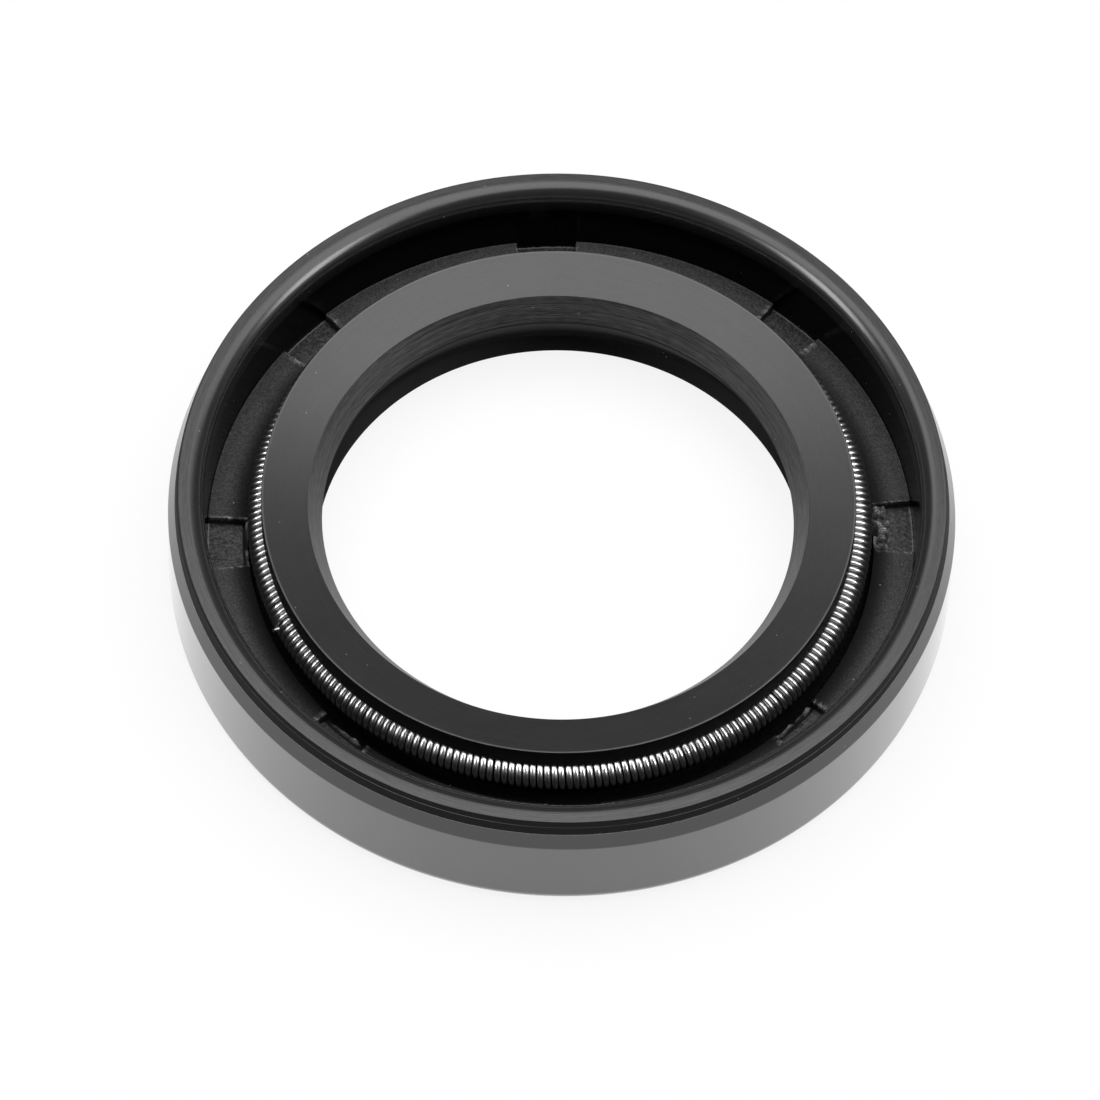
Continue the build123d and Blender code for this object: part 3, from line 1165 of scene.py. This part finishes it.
seal_body.data.materials.append(rubber_material("moulded_rubber", 1.0))
seal_body.data.materials.append(rubber_material("cut_rubber", 0.15))
seal_body.data.materials.append(rubber_material("cover_rubber", 1.0, coat=1.0))
print("rubber materials", [material.name for material in seal_body.data.materials])

# %% [markdown]
# ## Bare steel
# Under the rubber the steel has a bonding coat, which is dark and gritty.  The mesh has
# the large grains, and the material adds the small ones, dark between and grey on top.
# A narrow ring along the foot of the recess wall is paler.

# %% Coated steel
PALE_RING = 0.1
PALE_RING_GREY = 0.12
COAT_GREYS = (0.0, 0.06)
COAT_ROUGH = (0.65, 0.4)
COAT_GLOSS = 0.4
COAT_GRAIN, COAT_CLOUDS = 0.12, 0.5
COAT_BUMP, COAT_BUMP_DEPTH = 0.8, 0.012


def coated_steel_material():
    """Steel with a gritty bonding coat, and a pale ring along the foot of the recess wall."""
    material = bpy.data.materials.new("coated_steel")
    tree, shader = shader_tree(material)
    grit = use_group(tree, mould_grain, size=COAT_GRAIN, clouds=COAT_CLOUDS).outputs
    add_relief(tree, shader, grit["Height"], COAT_BUMP, COAT_BUMP_DEPTH)
    axes = node(tree, "ShaderNodeSeparateXYZ", Vector=object_place(tree)).outputs
    radius = axis_radius(tree, axes)
    pale = math_node(tree, "GREATER_THAN", radius, (RECESS_FOOT_R - PALE_RING) * MM)
    base = blend(tree, grit["Grit"], *COAT_GREYS)
    base = math_node(tree, "MULTIPLY_ADD", pale, PALE_RING_GREY, base)
    tree.links.new(grey(tree, base), shader.inputs["Base Color"])
    tree.links.new(blend(tree, grit["Clouds"], *COAT_ROUGH), shader.inputs["Roughness"])
    shader.inputs["Specular IOR Level"].default_value = COAT_GLOSS
    return material


steel_case.data.materials.append(coated_steel_material())
print("steel material", steel_case.data.materials[0].name)

# %% [markdown]
# ## Spring wire
# Drawn wire is bright metal with a fine grain, so it is nearly all mirror: the lamps make
# the light spot on each turn.  Mirrors alone leave the lower half of the coil too bright,
# so painted shade darkens its colour there, down in the groove.

# %% Spring wire
WIRE_GREYS = (0.54, 0.64)
WIRE_PAINTED_SHADE_GREY = 0.12
WIRE_ROUGH = (0.34, 0.26)
PAINTED_SHADE_FADE_FROM_Z, PAINTED_SHADE_FADE_TO_Z = SPRING_Z - 0.3, SPRING_Z + 0.5
WIRE_GRAIN, WIRE_CLOUDS = 0.05, 1.5
WIRE_BUMP, WIRE_BUMP_DEPTH = 0.3, 0.0004


def dress_spring_wire(material):
    """Bright drawn wire, with painted shade on the lower half of the coil, down in its groove."""
    tree, shader = shader_tree(material)
    drawn = use_group(tree, mould_grain, size=WIRE_GRAIN, clouds=WIRE_CLOUDS).outputs
    height = node(tree, "ShaderNodeSeparateXYZ", Vector=object_place(tree)).outputs["Z"]
    clear_of_painted_shade = node(
        tree,
        "ShaderNodeMapRange",
        Value=height,
        From_Min=PAINTED_SHADE_FADE_FROM_Z * MM,
        From_Max=PAINTED_SHADE_FADE_TO_Z * MM,
    ).outputs[0]
    add_relief(tree, shader, drawn["Height"], WIRE_BUMP, WIRE_BUMP_DEPTH)
    bright = blend(tree, drawn["Clouds"], *WIRE_GREYS)
    # painted shade: the wire's colour darkens towards the lower half of the coil
    tone = blend(tree, clear_of_painted_shade, WIRE_PAINTED_SHADE_GREY, bright)
    tree.links.new(grey(tree, tone), shader.inputs["Base Color"])
    tree.links.new(blend(tree, drawn["Clouds"], *WIRE_ROUGH), shader.inputs["Roughness"])
    shader.inputs["Metallic"].default_value = 1.0


dress_spring_wire(spring_wire)
print("wire material", spring_wire.name)

# %% [markdown]
# ## Floor
# The floor is white card.  Light that scatters off it lights the cover from below, as card
# does.  To the camera and to mirrors it glows at nearly full white, with a little real
# shading on top, so that it stays white but keeps the seal's shadow.  From below it is
# clear, so that the seal's back can be looked at.

# %% Floor
FLOOR_HALF = 1500.0
FLOOR_DROP = 0.01
FLOOR_WHITE = 0.8
FLOOR_GLOW = 0.88
FLOOR_SHADED = 0.14


def seen_directly(tree):
    """1 for rays that show the floor or sky: camera, mirror and glass rays."""
    path = tree.nodes.new("ShaderNodeLightPath").outputs
    glossy = math_node(tree, "MAXIMUM", path["Is Camera Ray"], path["Is Glossy Ray"])
    return math_node(tree, "MAXIMUM", glossy, path["Is Transmission Ray"])


def matt(tree, level):
    """A matt shader of one grey."""
    return node(tree, "ShaderNodeBsdfDiffuse", Color=(level, level, level, 1)).outputs[0]


def mixed(tree, factor, a, b):
    """A shader that goes from a to b as the factor goes from 0 to 1."""
    return node(tree, "ShaderNodeMixShader", Fac=factor, _1=a, _2=b).outputs[0]


def floor_material():
    """White card that shows near full white, keeps a shadow, and is clear from below."""
    material = bpy.data.materials.new("white_floor")
    tree, shader = shader_tree(material)
    tree.nodes.remove(shader)
    glow = node(tree, "ShaderNodeEmission", Strength=FLOOR_GLOW).outputs[0]
    shown = node(tree, "ShaderNodeAddShader", _0=matt(tree, FLOOR_SHADED), _1=glow).outputs[0]
    above = mixed(tree, seen_directly(tree), matt(tree, FLOOR_WHITE), shown)
    clear = tree.nodes.new("ShaderNodeBsdfTransparent").outputs[0]
    below = tree.nodes.new("ShaderNodeNewGeometry").outputs["Backfacing"]
    sided = mixed(tree, below, above, clear)
    tree.links.new(sided, tree.nodes["Material Output"].inputs["Surface"])
    return material


def make_floor():
    h = FLOOR_HALF * MM
    z = -FLOOR_DROP * MM
    mesh = bpy.data.meshes.new("floor")
    mesh.from_pydata([(-h, -h, z), (h, -h, z), (h, h, z), (-h, h, z)], [], [(0, 1, 2, 3)])
    mesh.materials.append(floor_material())
    return add_object("floor", mesh)


floor = make_floor()
print("the floor is", 2 * FLOOR_HALF, "mm wide")

# %% [markdown]
# ## Studio
# Around the floor is a dim room.  The camera sees it white all round, and mirrors see a
# white band at the horizon, where the floor's edge would be.

# %% World
SKY_LEVEL = 0.06
HORIZON_TOP = 0.1


def make_world():
    """A dim studio that shows white to the camera, and a white horizon to mirrors."""
    world = bpy.data.worlds.new("studio")
    bpy.context.scene.world = world
    world.use_nodes = True
    tree = world.node_tree
    background = tree.nodes["Background"]
    background.inputs["Color"].default_value = (1, 1, 1, 1)
    heading = tree.nodes.new("ShaderNodeTexCoord").outputs["Generated"]
    height = node(tree, "ShaderNodeSeparateXYZ", Vector=heading).outputs["Z"]
    low = math_node(tree, "LESS_THAN", height, HORIZON_TOP)
    shown = math_node(tree, "MULTIPLY", low, seen_directly(tree))
    camera_ray = tree.nodes.new("ShaderNodeLightPath").outputs["Is Camera Ray"]
    shown = math_node(tree, "MAXIMUM", shown, camera_ray)
    tree.links.new(blend(tree, shown, SKY_LEVEL, 1.0), background.inputs["Strength"])


make_world()
print("the sky's level is", SKY_LEVEL)

# %% [markdown]
# ## Lamps
# A large soft lamp overhead gives the light level, and its mirror image is the grey sheen
# on the flat rubber.  Two bright boxes at the sides are there for their mirror images
# alone, the highlights on the roundings and the spring, so their diffuse light is off and
# they don't raise the level.

# %% Lamps
OVERHEAD_RADIANCE = 3.4
SIDE_BOX_RADIANCE = 12.0
SIDE_BOX_SIZE = (250, 450)


def make_lamp(name, place, size, radiance, accent=False):
    """A soft lamp at a place in mm, facing the seal; a radiance of 1 is the white of paper.

    An accent lamp is there for its mirror image alone, and adds nothing to the light level.
    """
    data = bpy.data.lights.new(name, "AREA")
    data.shape = "RECTANGLE"
    data.size, data.size_y = size[0] * MM, size[1] * MM
    data.energy = radiance * math.pi * data.size * data.size_y
    lamp = add_object(name, data)
    lamp.visible_diffuse = not accent
    lamp.location = Vector(place) * MM
    lamp.rotation_euler = (-Vector(place)).to_track_quat("-Z", "Y").to_euler()


make_lamp("overhead", (35, 107, 600), (730, 535), OVERHEAD_RADIANCE)
make_lamp("left_box", (-575, -154, 474), SIDE_BOX_SIZE, SIDE_BOX_RADIANCE, accent=True)
make_lamp("right_box", (575, -154, 474), SIDE_BOX_SIZE, SIDE_BOX_RADIANCE, accent=True)
print("lamps", sorted(lamp.name for lamp in bpy.data.lights))

# %% [markdown]
# ## Colour view
# The render shows colours as they are, with the Standard view transform.

# %% Finish
bpy.context.scene.view_settings.view_transform = "Standard"
